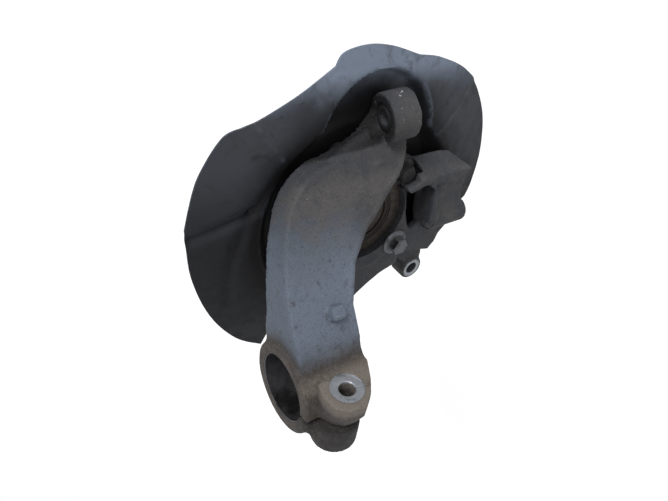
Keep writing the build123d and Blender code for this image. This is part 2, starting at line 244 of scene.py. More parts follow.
# %% Blank: plug, weld, smooth
VOXEL = 1.25 * MM
SMOOTH_STEPS = 9


def casting_blank():
    """The knuckle before machining."""
    bm = bmesh.new()
    bm.from_mesh(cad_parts["knuckle"].data)
    bmesh.ops.remove_doubles(bm, verts=bm.verts, dist=1e-6)
    plug_holes(bm)
    casting_detail(bm)
    blank = to_object("casting", bm)
    weld = blank.modifiers.new("weld", "REMESH")
    weld.mode = "VOXEL"
    weld.voxel_size = VOXEL
    soften = blank.modifiers.new("soften", "SMOOTH")
    soften.factor = 0.5
    soften.iterations = SMOOTH_STEPS
    apply_modifiers(blank)
    return blank


casting = casting_blank()
print("blank:", len(casting.data.polygons), "faces")

# %% [markdown]
# Sand leaves a grainy, uneven skin. Real height is given to the larger waves and pits, by moving each point
# along its normal by smooth noise, and the fine grain is left to the material's bump.

# %% Rough skin
WAVE_SIZE = 17.0
GRAIN_SIZE = 3.1


def roughen(piece, wave=0.22, grain=0.07):
    """Moves points along their normals by a little noise, in millimetres."""
    mesh = piece.data
    normals = [vertex.normal.copy() for vertex in mesh.vertices]
    for vertex, normal in zip(mesh.vertices, normals):
        spot = vertex.co / MM
        lift = noise.noise(spot / WAVE_SIZE) * wave + noise.noise(spot / GRAIN_SIZE) * grain
        vertex.co += normal * (lift * MM)
    mesh.update()


roughen(casting)

# %% [markdown]
# ## Machining
# Each cutter is a closed solid: bores with small chamfers, spot faces and seats. A Boolean modifier takes
# them away from the blank, as a boring bar and a face mill would. Its Manifold solver is the fast one, but it
# leaves the piece uncut if a cutter isn't closed, which is why `turned` merges its doubles.

# %% Cutters
# how far a tool runs past the face where it enters, and past the carrier's face towards the wheel
OVERRUN = 12
PAST_WHEEL_FACE = 20
SLIT_REACH = 75
SLIT_Z = (40, 140)


def chamfered_bore(bm, start, end, radius, chamfer=0.8):
    """A bore's cutter that opens out at both ends."""
    start = Vector(start)
    end = Vector(end)
    run = (end - start).normalized()
    length = (end - start).length
    profile = [(0, -OVERRUN), (radius + chamfer, -OVERRUN), (radius + chamfer, 0), (radius, chamfer),
               (radius, length - chamfer), (radius + chamfer, length), (radius + chamfer, length + OVERRUN),
               (0, length + OVERRUN)]
    turned(bm, profile, start, run)


def cutters():
    """One object for each set of cuts that don't touch each other."""
    first = bmesh.new()
    chamfered_bore(first, (*STRUT, CLAMP_Z[0]), (*STRUT, CLAMP_Z[1]), STRUT_R, 1.0)
    eye_profile = [(0, -45), (EYE_HOLE_R, -45), (EYE_HOLE_R, -1.2), (EYE_HOLE_R + 0.6, -0.7), (9.2, -0.7),
                   (9.8, -1.6), (12.4, -1.6), (13.4, 0.2), (13.4, 14), (0, 14)]
    turned(first, eye_profile, EYE, EYE_UP)
    pin_depth = PIN_Z[1] - PIN_Z[0]
    pin_profile = [(0, -OVERRUN), (PIN_R + 1, -OVERRUN), (PIN_R + 1, 0), (PIN_R, 1), (PIN_R, pin_depth - 1),
                   (0, pin_depth)]
    turned(first, pin_profile, (*PIN, PIN_Z[0]), (0, 0, 1))
    for x, z in EARS:
        chamfered_bore(first, (x, EAR_Y[0] + 0.1, z), (x, EAR_Y[1], z), EAR_HOLE_R, 0.7)
    rod(first, (0, CARRIER_Y - 16, 0), (0, PAST_WHEEL_FACE, 0), BORE_R, segments=144)
    for x, z in SCREWS:
        rod(first, (x, -SCREW_DEPTH, z), (x, PAST_WHEEL_FACE, z), SCREW_R, segments=24)
    second = bmesh.new()
    lug_width = LUG_X[1] - LUG_X[0]
    pinch_profile = [(0, -OVERRUN), (PINCH_R, -OVERRUN), (PINCH_R, lug_width - 0.6),
                     (PINCH_R + 0.6, lug_width), (PINCH_FACE_R, lug_width), (PINCH_FACE_R, 80), (0, 80)]
    turned(second, pinch_profile, (LUG_X[0], *PINCH), (1, 0, 0))
    seat_profile = [(0, -OVERRUN), (BOLT_SEAT_R, -OVERRUN), (BOLT_SEAT_R, 0), (BOLT_HOLE_R, 0),
                    (BOLT_HOLE_R, 40), (0, 40)]
    for (x, z), seat in BOLTS:
        turned(second, seat_profile, (x, seat, z))
    third = bmesh.new()
    block(third, (SLIT_X - SLIT_HALF, STRUT[1] - SLIT_REACH, SLIT_Z[0]),
          (SLIT_X + SLIT_HALF, STRUT[1], SLIT_Z[1]))
    return [to_object(f"cutter_{index}", bm) for index, bm in enumerate((first, second, third), 1)]


def machine(piece, tools):
    """Cuts the tools out of the piece and removes them."""
    for tool in tools:
        cut = piece.modifiers.new(tool.name, "BOOLEAN")
        cut.operation = "DIFFERENCE"
        cut.solver = "MANIFOLD"
        cut.object = tool
        apply_modifiers(piece)
    for tool in tools:
        bpy.data.objects.remove(tool)


machine(casting, cutters())
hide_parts("knuckle")
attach(casting, "carrier")
print("casting:", len(casting.data.polygons), "faces")

# %% [markdown]
# ## The dust shield
# One sheet of steel, pressed in a die. It is a pan round the bearing, a ridge, and a band that slopes back to
# the rim. The press adds stiffening creases and a clearance dish round the steering arm's eye. A fine grid is
# shaped by one height rule, given its thickness, and trimmed to the outline as the press would trim it.

# %% Height of the pressed sheet
SEAT_R = 86.0
RIDGE = (97.0, 105.0, -13.0)
RIM_R = 175.0
DISH_CENTRE = Vector((69.9, -8.4))
DISH_R = 52.0
DISH_Y = 2.5
SHEET = 1.2
# each layer of dents: where its noise is read, the size of its blobs and its depth, in millimetres
DENTS = [(5.0, 34.0, 0.7), (9.0, 11.0, 0.18)]
# each crease: its points in X and Z, its height and its half width, in millimetres
CREASES = [
    ([(10, 150), (17, 126), (26, 103)], 3.2, 4.5),
    ([(26, 103), (44, 91), (56, 79), (63, 66), (73, 46)], 2.6, 4.0),
    ([(93, 98), (81, 90), (69, 81)], -2.4, 4.0),
    ([(128, -40), (116, -43), (104, -47)], 2.4, 3.5),
    ([(110, -111), (89, -96), (69, -76), (56, -66)], -3.0, 6.0),
    ([(-62, 122), (-20, 119), (10, 110), (26, 103)], 1.4, 5.0),
]


def blend_step(low, high, value):
    """A smooth step from 0 to 1."""
    share = min(max((value - low) / (high - low), 0.0), 1.0)
    return share * share * (3 - 2 * share)


def segment_distance(point, start, end):
    """How far a point is from a straight piece of a crease."""
    run = end - start
    share = min(max((point - start).dot(run) / run.length_squared, 0.0), 1.0)
    return (point - start - run * share).length


def crease_height(point):
    """The creases' own height at a point of the sheet."""
    total = 0.0
    for corners, height, half_width in CREASES:
        corners = [Vector(corner) for corner in corners]
        near = min(segment_distance(point, *pair) for pair in zip(corners, corners[1:]))
        total += height * math.exp(-(near / half_width) ** 2)
    return total


def sheet_height(x, z):
    """Y of the sheet's inboard surface."""
    point = Vector((x, z))
    radius = point.length
    rise = blend_step(SEAT_R - 1, RIDGE[0] + 1, radius)
    back = min(max((radius - RIDGE[1]) / (RIM_R - RIDGE[1]), 0.0), 1.0)
    height = RIDGE[2] * rise * (1 - back)
    from_eye = (point - DISH_CENTRE).length
    dish = (1 - blend_step(DISH_R - 1.5, DISH_R + 4.5, from_eye)) * blend_step(SEAT_R - 6, SEAT_R + 3, radius)
    height += (DISH_Y - height) * dish
    dents = sum(noise.noise(Vector((x, z, layer)) / size) * depth for layer, size, depth in DENTS)
    return height + (crease_height(point) + dents) * blend_step(SEAT_R, SEAT_R + 12, radius)


# %% Outline of the sheet
def smooth_run(points, steps=8):
    """Points along a soft curve through the given corners."""
    padded = [points[0], *points, points[-1]]
    result = []
    for before, start, end, after in zip(padded, padded[1:], padded[2:], padded[3:]):
        for step in range(steps):
            t = step / steps
            slope = (end - before) * t
            bend = (2 * before - 5 * start + 4 * end - after) * t * t
            twist = (3 * start - before - 3 * end + after) * t ** 3
            result.append(0.5 * (2 * start + slope + bend + twist))
    return result


OUTLINE_RUNS = [
    [(20, 154), (58, 144), (88, 125), (95, 110)],
    [(95, 110), (101, 93), (114, 67), (131, 38)],
    [(131, 38), (140, 31), (144, 10), (141, -14), (132, -42)],
    [(132, -42), (127, -68), (111, -104), (77, -134), (32, -151), (-6, -153), (-26, -148)],
    [(-26, -148), (-40, -116), (-44, -62)],
    [(-44, -62), (-66, -30), (-74, 10), (-71, 42), (-61, 67)],
    [(-61, 67), (-104, 76), (-136, 85)],
    [(-136, 85), (-115, 111), (-75, 136), (-26, 151), (20, 154)],
]


def trim_prism():
    """The trimming die: the shield's outline as a tall closed prism."""
    bm = bmesh.new()
    corners = []
    for run in OUTLINE_RUNS:
        corners += smooth_run([Vector(corner) for corner in run])
    prism(bm, [(x, -60, z) for x, z in corners], (0, 120, 0))
    return to_object("trim_die", bm)


# %% Press, thicken, trim
GRID = 2.0
MARGIN = 8
PUNCH_REACH = 40


def press_sheet():
    """The finished shield."""
    low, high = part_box("dust_shield")
    across = (high.x - low.x) / MM + MARGIN
    tall = (high.z - low.z) / MM + MARGIN
    bm = bmesh.new()
    bmesh.ops.create_grid(bm, x_segments=round(across / GRID), y_segments=round(tall / GRID), size=0.5)
    middle = (low + high) / 2 / MM
    for vertex in bm.verts:
        x = vertex.co.x * across + middle.x
        z = vertex.co.y * tall + middle.z
        vertex.co = Vector((x, sheet_height(x, z) + SHEET / 2, z)) * MM
    sheet = to_object("shield", bm, 60)
    wall = sheet.modifiers.new("wall", "SOLIDIFY")
    wall.thickness = SHEET * MM
    wall.offset = 0
    apply_modifiers(sheet, 60)
    die = trim_prism()
    holes = bmesh.new()
    rod(holes, (0, -PUNCH_REACH, 0), (0, PUNCH_REACH, 0), BORE_R, segments=144)
    for x, z in SCREWS:
        rod(holes, (x, -PUNCH_REACH, z), (x, PUNCH_REACH, z), SCREW_HOLE_R, segments=32)
    for (x, z), _seat in BOLTS:
        rod(holes, (x, -PUNCH_REACH, z), (x, PUNCH_REACH, z), BOLT_HOLE_R, segments=48)
    punch = to_object("punch", holes)
    for tool, operation in ((die, "INTERSECT"), (punch, "DIFFERENCE")):
        trim = sheet.modifiers.new(operation, "BOOLEAN")
        trim.operation = operation
        trim.solver = "MANIFOLD"
        trim.object = tool
        apply_modifiers(sheet, 50)
        bpy.data.objects.remove(tool)
    return sheet


shield = press_sheet()
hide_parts("dust_shield")
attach(shield, "carrier")
print("shield:", len(shield.data.polygons), "faces")

# %% [markdown]
# ## Fasteners
# A flanged hexagon bolt is a turned shank and flange with a hexagon on top. The hexagon is a rod of six
# sides, and a short taper at its end breaks the corners, as the chamfer does on a real head. The studs'
# threads are rings in one turned profile, because a helix takes many more faces and looks the same from here.

# %% Hub bolts
BOLT_LENGTH = 40.0
BOLT_R = 6.0
HEX_R = 7.5
HEX_TOP = 10.5
HEX_TAPER = 1.1
FLANGE_R = 12.7


def hexagon(bm, x, z, y_low, y_high, half_across, top_scale=0.92):
    """A hexagon head along the wheel axis, with its outer corners broken."""
    corner = half_across / math.cos(math.pi / 6)
    rod(bm, (x, y_high, z), (x, y_low + HEX_TAPER, z), corner, segments=6)
    rod(bm, (x, y_low + HEX_TAPER, z), (x, y_low, z), corner, corner * top_scale, segments=6)


def hub_bolt(number, x, z, seat):
    """One bolt of the bearing unit: shank, domed flange, hexagon with a shallow dimple."""
    bm = bmesh.new()
    profile = [(0, BOLT_LENGTH), (5.4, BOLT_LENGTH), (BOLT_R, BOLT_LENGTH - 0.8), (BOLT_R, 0), (FLANGE_R, 0),
               (FLANGE_R, -1.1), (FLANGE_R - 0.9, -2.1), (9.2, -3.0), (0, -3.4)]
    turned(bm, profile, (x, seat, z), (0, 1, 0), segments=48)
    hexagon(bm, x, z, seat - HEX_TOP, seat - 2.4, HEX_R)
    turned(bm, [(0, -10.9), (5.6, -10.9), (6.1, -10.4), (0, -10.2)], (x, seat, z), (0, 1, 0), segments=48)
    piece = to_object(f"flange_bolt_{number}", bm)
    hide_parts(f"hub_bolt_{number}")
    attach(piece, "carrier")
    return piece


hub_bolts = [hub_bolt(number, x, z, seat) for number, ((x, z), seat) in enumerate(BOLTS, 1)]

# %% Wheel studs and shield screws
STUD_COUNT = 5
STUD_CIRCLE_R = 54.0
STUD_R = 6.0
STUD_HEAD_R = 8.5
STUD_HEAD = 3.5
KNURL_R = 6.4
HUB_BACK = 34.0
STUD_TIP = 36.0
THREAD_START = 12.5
THREAD_END = 33.5
THREAD_PITCH = 1.5
THREAD_DEPTH = 0.85


def wheel_stud(number):
    """A pressed-in stud with its rolled thread drawn as rings and a lead-in at the tip."""
    x, z = polar(STUD_CIRCLE_R, 90 + 360 / STUD_COUNT * (number - 1))
    profile = [(0, -STUD_HEAD), (7.9, -STUD_HEAD), (STUD_HEAD_R, -2.9), (STUD_HEAD_R, 0), (KNURL_R, 0),
               (KNURL_R, 10), (STUD_R, 10.3), (STUD_R, 12)]
    height = THREAD_START
    while height < THREAD_END:
        profile += [(STUD_R, height), (STUD_R - THREAD_DEPTH, height + THREAD_PITCH / 2)]
        height += THREAD_PITCH
    profile += [(STUD_R - 1.0, STUD_TIP - 1.4), (STUD_R - 2.0, STUD_TIP), (0, STUD_TIP)]
    bm = bmesh.new()
    turned(bm, profile, (x, HUB_BACK, z), (0, 1, 0), segments=40)
    piece = to_object(f"threaded_stud_{number}", bm, 25)
    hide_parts(f"wheel_stud_{number}")
    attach(piece, "hub")
    return piece


def shield_screw(number, x, z):
    """A pan-headed screw with a hexagon socket, seen from the wheel's side."""
    bm = bmesh.new()
    profile = [(0, -10), (SCREW_R, -10), (SCREW_R, SHEET), (6, SHEET), (6, SHEET + 2.2), (4.9, SHEET + 3.3),
               (2.4, SHEET + 3.5), (2.4, SHEET + 1.6), (0, SHEET + 1.6)]
    turned(bm, profile, (x, 0, z), (0, 1, 0), segments=36)
    piece = to_object(f"pan_screw_{number}", bm)
    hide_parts(f"shield_screw_{number}")
    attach(piece, "carrier")
    return piece


studs = [wheel_stud(number) for number in range(1, STUD_COUNT + 1)]
screws = [shield_screw(number, x, z) for number, (x, z) in enumerate(SCREWS, 1)]

# %% [markdown]
# ## The hub and the seals
# A hub is turned on a lathe from one forging, so one spun profile makes it, with its broken edges, the track
# for the balls and the relief groove at the root of the pilot. Its bore is broached with splines, which a
# fluted cutter leaves behind.

# %% Wheel hub
TRACK_R = 28.5
TRACK_BALL_R = 6.3
TRACK_STEPS = 5
SHOULDER_R = 24.0
SHAFT_R = 17.0
FLANGE_EDGE_R = 67.0
PILOT_R = 31.7
SPLINES = 30
SPLINE_MINOR_R = 12.2
SPLINE_MAJOR_R = 13.3
BROACH_Y = (-30, 48)
TRACK_Y = 16.0


def ball_track(row_y, shoulder):
    """Corners of the round track where the balls run, as a short arc cut into the shoulder."""
    reach = math.acos((TRACK_R - shoulder) / TRACK_BALL_R)
    turns = [reach * (index / TRACK_STEPS - 1) for index in range(2 * TRACK_STEPS + 1)]
    return [(TRACK_R - TRACK_BALL_R * math.cos(turn), row_y + TRACK_BALL_R * math.sin(turn))
            for turn in turns]


def wheel_hub():
    """The hub: spline sleeve, shoulder with its ball track, flange, and the pilot that centres the wheel."""
    profile = [(12.5, -18), (13.5, -19), (16.2, -19), (SHAFT_R, -18.2), (SHAFT_R, 3), (SHOULDER_R, 3)]
    profile += ball_track(TRACK_Y, SHOULDER_R)
    profile += [(SHOULDER_R, 30), (25, 31.6), (28, 33.3), (31, 34), (65.5, 34), (FLANGE_EDGE_R, 35.5),
                (FLANGE_EDGE_R, 42.8), (65.8, 44), (33.2, 44), (32.6, 43.3), (PILOT_R, 43.6), (PILOT_R, 53.4),
                (30.4, 55), (26.8, 55), (25.9, 54.2), (24.8, 40.6), (23.4, 39.2), (13.8, 38), (12.5, 36.8)]
    bm = bmesh.new()
    turned(bm, profile, segments=144)
    hub = to_object("turned_hub", bm)
    broach = bmesh.new()
    rod(broach, (0, BROACH_Y[0], 0), (0, BROACH_Y[1], 0), SPLINE_MINOR_R, segments=SPLINES * 4)
    for vertex in broach.verts:
        turn = math.atan2(vertex.co.z, vertex.co.x) / math.tau * SPLINES
        if turn % 1.0 < 0.5:
            vertex.co.x *= SPLINE_MAJOR_R / SPLINE_MINOR_R
            vertex.co.z *= SPLINE_MAJOR_R / SPLINE_MINOR_R
    tool = to_object("broach", broach, 20)
    machine(hub, [tool])
    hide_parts("wheel_hub")
    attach(hub, "hub")
    return hub


hub = wheel_hub()

# %% Seals
SEAL_LIP_R = 24.4
SEAL_CASE_R = 30.4


def ring_seal(name, node, y_low, y_high, faces_wheel):
    """A pressed steel case with a rubber lip: stepped rings that show round the shaft."""
    profile = [(SEAL_LIP_R, y_low), (26.0, y_low), (26.5, y_low + 0.8), (28.0, y_low + 0.8),
               (28.4, y_low + 0.1), (SEAL_CASE_R, y_low), (SEAL_CASE_R, y_high), (SEAL_LIP_R, y_high)]
    if faces_wheel:
        profile = [(radius, y_low + y_high - height) for radius, height in profile]
    bm = bmesh.new()
    turned(bm, profile, segments=120)
    piece = to_object(name, bm, 25)
    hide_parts(node)
    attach(piece, "carrier")
    return piece


seals = [ring_seal("inner_seal", "seal_inboard", -19.4, -16.6, False),
         ring_seal("outer_seal", "seal_outboard", 25.6, 28.9, True)]

# %% [markdown]
# ## Finishes
# A finish is a small program. `Wire` wraps the output of one shader node, so that sums and products of masks
# can be written as plain expressions, and `Finish.node` makes any other node. Every pattern reads Object
# coordinates, which are metres in the frame of the part, so grain has its true size and stays put when the
# part moves.

# %% Shader wiring
class Wire:
    """A shader value that can be used in arithmetic."""

    def __init__(self, finish, socket):
        self.finish = finish
        self.socket = socket

    def math(self, operation, *others, clamp=False):
        settings = {"operation": operation, "use_clamp": clamp}
        return self.finish.node("ShaderNodeMath", settings, [self, *others])

    def __add__(self, other):
        return self.math("ADD", other)

    __radd__ = __add__

    def __mul__(self, other):
        return self.math("MULTIPLY", other)

    __rmul__ = __mul__

    def __sub__(self, other):
        return self.math("SUBTRACT", other)

    def __rsub__(self, other):
        return self.finish.node("ShaderNodeMath", {"operation": "SUBTRACT"}, [other, self])

    def clamped(self):
        return self.math("ADD", 0.0, clamp=True)

    def step(self, low, high):
        """0 below low, 1 above high, and soft between."""
        settings = {"interpolation_type": "SMOOTHSTEP", "clamp": True}
        return self.finish.node("ShaderNodeMapRange", settings, [self, low, high, 0.0, 1.0])


class Finish:
    """One material: a Principled surface and the nodes that feed it."""

    def __init__(self, name, roughness=0.6, metallic=0.0, shine=0.5):
        self.material = bpy.data.materials.new(name)
        self.material.use_nodes = True
        self.tree = self.material.node_tree
        self.surface = self.tree.nodes["Principled BSDF"]
        self.surface.inputs["Roughness"].default_value = roughness
        self.surface.inputs["Metallic"].default_value = metallic
        self.surface.inputs["Specular IOR Level"].default_value = shine
        coordinates = self.node("ShaderNodeTexCoord", out="Object")
        self.place = self.node("ShaderNodeVectorMath", {"operation": "SCALE"},
                               {0: coordinates, "Scale": 1 / MM})
        self.x = self.node("ShaderNodeSeparateXYZ", inputs=[self.place], out=0)
        self.y = self.node("ShaderNodeSeparateXYZ", inputs=[self.place], out=1)
        self.z = self.node("ShaderNodeSeparateXYZ", inputs=[self.place], out=2)

    def node(self, kind, settings=None, inputs=(), out=0):
        """Adds a node, with its settings first, and returns one of its outputs."""
        made = self.tree.nodes.new(kind)
        for key, value in (settings or {}).items():
            setattr(made, key, value)
        pairs = inputs.items() if isinstance(inputs, dict) else enumerate(inputs)
        for key, value in pairs:
            if isinstance(value, Wire):
                self.tree.links.new(value.socket, made.inputs[key])
            elif value is not None:
                made.inputs[key].default_value = value
        return Wire(self, made.outputs[out])

    def noise(self, size, detail=4.0, roughness=0.55, distortion=0.0, stretch=None):
        """Noise from 0 to 1 with blobs of about this size in millimetres."""
        where = self.place
        if stretch is not None:
            where = self.node("ShaderNodeVectorMath", {"operation": "MULTIPLY"}, [self.place, stretch])
        inputs = {"Vector": where, "Scale": 1 / size, "Detail": detail, "Roughness": roughness,
                  "Distortion": distortion}
        return self.node("ShaderNodeTexNoise", {"noise_dimensions": "3D"}, inputs, out=0)

    def speckle(self, size):
        """Distance to the nearest of many scattered points, this far apart in millimetres."""
        return self.node("ShaderNodeTexVoronoi", {"feature": "F1"}, {"Vector": self.place, "Scale": 1 / size},
                         out="Distance")

    def edges(self):
        """Pointiness: above 0.5 on edges that stick out, below it in corners."""
        return self.node("ShaderNodeNewGeometry", out="Pointiness")

    def mix(self, mask, colour_a, colour_b):
        colours = {0: mask}
        for index, colour in ((6, colour_a), (7, colour_b)):
            colours[index] = colour if isinstance(colour, Wire) else (*colour, 1)
        return self.node("ShaderNodeMix", {"data_type": "RGBA"}, colours, out=2)

    def blend(self, mask, low, high):
        """A number that goes from low to high with the mask."""
        return mask * (high - low) + low

    def feed(self, name, value):
        self.tree.links.new(value.socket, self.surface.inputs[name])

    def bump(self, height, distance_mm, strength=1.0):
        """Height in shares of a distance in millimetres."""
        normal = self.node("ShaderNodeBump", inputs={"Strength": strength, "Distance": distance_mm * MM,
                                                     "Height": height})
        self.feed("Normal", normal)

    def axis_distance(self, origin, direction):
        """Distance in millimetres from a line through a point."""
        offset = self.node("ShaderNodeVectorMath", {"operation": "SUBTRACT"}, [self.place, tuple(origin)])
        across = self.node("ShaderNodeVectorMath", {"operation": "CROSS_PRODUCT"}, [offset, tuple(direction)])
        return self.node("ShaderNodeVectorMath", {"operation": "LENGTH"}, [across], out="Value")


# %% [markdown]
# ### Worn paint on cast iron
# The casting was painted once. The flat face near the strut kept most of its blue-grey coat, the arm is dull
# with dust, and the clamp is brown with rust. Corners and the deep parts towards the shield are painted dark as
# shade, and edges are rubbed paler, which pointiness tells apart. Machined metal is bare: the strut bore, the
# ring round the pinch bolt's hole and the faces of the caliper ears are found by their distance from an axis,
# and the bore is painted as a darker copy of the bare iron, which is painted shade.

# %% Cast iron
PAINT = (0.130, 0.156, 0.200)
# dark paint, which also paints the shade of the deep parts
DARK_PAINT_AND_SHADE = (0.036, 0.039, 0.047)
DUST = (0.090, 0.085, 0.083)
TAN = (0.185, 0.160, 0.138)
RUST = (0.052, 0.040, 0.031)
# soot and grit, which also paint the shade in the corners and on the eye's top
SOOT_AND_SHADE = (0.010, 0.010, 0.011)
BARE = (0.34, 0.36, 0.39)
# the bore's iron: a darker copy of the bare iron, which is painted shade
SHADED_BORE = (0.12, 0.12, 0.13)


def cast_iron():
    """The casting's finish, laid on from the old coat up to the bare machined metal."""
    finish = Finish("painted_casting", roughness=0.6, shine=0.25)
    cloud = finish.noise(28.0, 5.0, 0.6)
    patch = finish.noise(9.0, 5.0, 0.65, 0.4)
    grit = finish.noise(1.3, 3.0, 0.7)
    grain = finish.noise(2.6, 4.0, 0.6)
    point = finish.edges()
    # the painted face: the neck's outer side between the clamp and the shoulder
    from_clamp = finish.axis_distance((*STRUT, 0.0), (0.0, 0.0, 1.0))
    plate = (finish.z + patch * 14).step(30.0, 62.0) * (from_clamp + patch * 26).step(42.0, 70.0)
    plate = plate * (1 - (finish.x + cloud * 40 + patch * 30).step(30.0, 92.0))
    # the parts furthest outboard, towards the shield, are darkened further down: painted shade
    deep = (finish.y + patch * 8).step(-40.0, -22.0)
    colour = finish.mix((cloud + patch * 0.6).step(0.55, 1.1), DARK_PAINT_AND_SHADE, DUST)
    colour = finish.mix(plate * patch.step(0.24, 0.46), colour, PAINT)
    # dull dust on the arm, brown iron on the clamp, a paler front lug and a near-black rear one
    arm = (finish.x + cloud * 30).step(42.0, 66.0) * (1 - deep)
    colour = finish.mix(arm * patch.step(0.32, 0.62) * 0.8, colour, DUST)
    clamp = 1 - (from_clamp + cloud * 10).step(40.0, 52.0)
    lug = 1 - (finish.y + cloud * 8).step(-122.0, -108.0)
    brown = (clamp + lug).clamped()
    colour = finish.mix(brown * 0.9, colour, finish.mix(grain.step(0.42, 0.80), RUST, DUST))
    front_lug = lug * (finish.x + grain * 2).step(-63.0, -56.0)
    colour = finish.mix(front_lug * patch.step(0.26, 0.5) * 0.85, colour, TAN)
    rear_lug = lug * (1 - (finish.x + grain * 3).step(-86.0, -78.0))
    colour = finish.mix(rear_lug * 0.7, colour, SOOT_AND_SHADE)
    # painted shade in the deep parts and in the corners, and a paler rub on the sharpest edges
    corner = 1 - point.step(0.44, 0.495)
    colour = finish.mix(deep * 0.45, colour, DARK_PAINT_AND_SHADE)
    colour = finish.mix(corner * 0.9, colour, SOOT_AND_SHADE)
    worn = point.step(0.535, 0.60) * grain.step(0.42, 0.66)
    colour = finish.mix(worn * 0.5, colour, PAINT)
    # the eye: a near-black top, which is painted shade, and fresh chips on its front side; scratches and specks
    # lie all over the casting
    from_eye = finish.axis_distance(EYE, EYE_UP)
    eye_top = (1 - (from_eye + grain * 2).step(18.0, 21.0)) * finish.z.step(-9.0, -5.5)
    colour = finish.mix(eye_top * 0.85, colour, SOOT_AND_SHADE)
    chips = finish.noise(5.5, 3.0, 0.6, 0.5).step(0.66, 0.69) * (finish.x + cloud * 12).step(96.0, 104.0)
    scratch = finish.noise(2.2, 2.0, 0.5, 0.0, (1.0, 1.0, 0.16)).step(0.73, 0.77) * patch.step(0.48, 0.62)
    bright = (chips + scratch * 0.7).clamped()
    colour = finish.mix(bright * 0.9, colour, BARE)
    speck = finish.speckle(2.4)
    colour = finish.mix((1 - speck.step(0.06, 0.20)) * 0.22, colour, BARE)
    colour = finish.mix((1 - grit.step(0.30, 0.46)) * 0.55, colour, SOOT_AND_SHADE)
    # machined metal: the strut bore, the rings round the pinch bolt, and the faces of the caliper ears
    bored = 1 - from_clamp.step(27.9, 28.5)
    from_pinch = finish.axis_distance((0.0, *PINCH), (1.0, 0.0, 0.0))
    faced = (1 - from_pinch.step(12.9, 13.3)) * finish.x.step(-55.0, -54.0)
    for x, z in EARS:
        from_ear = finish.axis_distance((x, 0.0, z), (0.0, 1.0, 0.0))
        faced = faced + (1 - (from_ear + grain * 3).step(11.0, 13.0)) * (1 - finish.y.step(-14.2, -13.6))
    faced = faced.clamped()
    # inside the strut bore the bare iron is painted darker as shade, with patches of soot
    colour = finish.mix(bored * 0.9, colour, finish.mix(cloud.step(0.40, 0.62) * 0.8, SHADED_BORE, SOOT_AND_SHADE))
    colour = finish.mix(faced * patch.step(0.22, 0.44), colour, BARE)
    metal = (bored + faced).clamped()
    finish.feed("Base Color", colour)
    finish.feed("Metallic", metal * 0.75)
    finish.feed("Roughness", finish.blend(patch.step(0.3, 0.7), 0.50, 0.78) * (1 - metal * 0.55))
    rough = grit * 0.5 + grain * 0.9 + finish.noise(6.0, 3.0) * 0.7 - bright * 0.3
    finish.bump(rough * (1 - metal * 0.85), 0.6, 0.9)
    return finish.material


# %% Machined iron and steel
def machined(name, colour, roughness, stain, pitch=None, metallic=0.9, stain_share=0.8):
    """Bare metal with stains, and with fine turning marks round the wheel axis at a pitch in millimetres."""
    finish = Finish(name, roughness=roughness, metallic=metallic, shine=0.3)
    cloud = finish.noise(7.0, 4.0, 0.6)
    grain = finish.noise(0.9, 3.0, 0.6)
    mask = cloud.step(0.42, 0.68)
    finish.feed("Base Color", finish.mix(mask * stain_share, colour, stain))
    finish.feed("Roughness", finish.blend(mask, roughness, min(roughness + 0.3, 0.9)))
    finish.feed("Metallic", finish.blend(mask, metallic, metallic * 0.45))
    height = grain * 0.5
    if pitch:
        ring = finish.axis_distance((0.0, 0.0, 0.0), (0.0, 1.0, 0.0))
        height = height + (ring * (math.tau / pitch)).math("SINE") * 0.35
    finish.bump(height, 0.06, 0.7)
    return finish.material


FINISHES = {
    "casting": cast_iron(),
    "bearing_steel": machined("rusty_steel", (0.060, 0.052, 0.045), 0.5, (0.022, 0.018, 0.015), 0.9, 0.5),
    "hub_steel": machined("turned_steel", (0.34, 0.335, 0.33), 0.38, (0.225, 0.195, 0.165), 0.7, 0.8, 0.45),
    "ball_steel": machined("ball_steel", (0.72, 0.73, 0.75), 0.12, (0.60, 0.60, 0.62), metallic=1.0),
    "fastener": machined("dull_zinc", (0.135, 0.143, 0.160), 0.42, (0.080, 0.074, 0.068), metallic=0.5),
    # near-black steel for the bolt sunk in its pocket: painted shade
    "shaded_fastener": machined("shade_dark_steel", (0.030, 0.030, 0.032), 0.6, (0.012, 0.012, 0.012),
                               metallic=0.2),
    "cage": machined("cage_plastic", (0.50, 0.46, 0.34), 0.5, (0.42, 0.38, 0.28), metallic=0.0),
    "seal": machined("seal_rubber", (0.022, 0.020, 0.018), 0.6, (0.045, 0.034, 0.025), 1.4, 0.1),
}
print("finishes:", sorted(FINISHES))

# %% [markdown]
# ### Painted sheet
# The shield is thin steel with a dull black-grey coat. Its front lobe is painted lighter and bluer, a painted
# sheen, and its deep middle and the rear of its band are painted nearly black as shade, with darker patches of
# grime.

# %% Sheet steel
SHEET_PAINT = (0.050, 0.055, 0.066)
# lighter blue: the painted sheen of the front lobe, and rubbed edges
SHEET_SHEEN_AND_RUB = (0.220, 0.262, 0.340)
# near-black: the painted shade of the deep middle and the band's rear, and patches of grime
SHEET_SHADE_AND_GRIME = (0.010, 0.010, 0.011)
SHEET_DUST = (0.045, 0.041, 0.038)


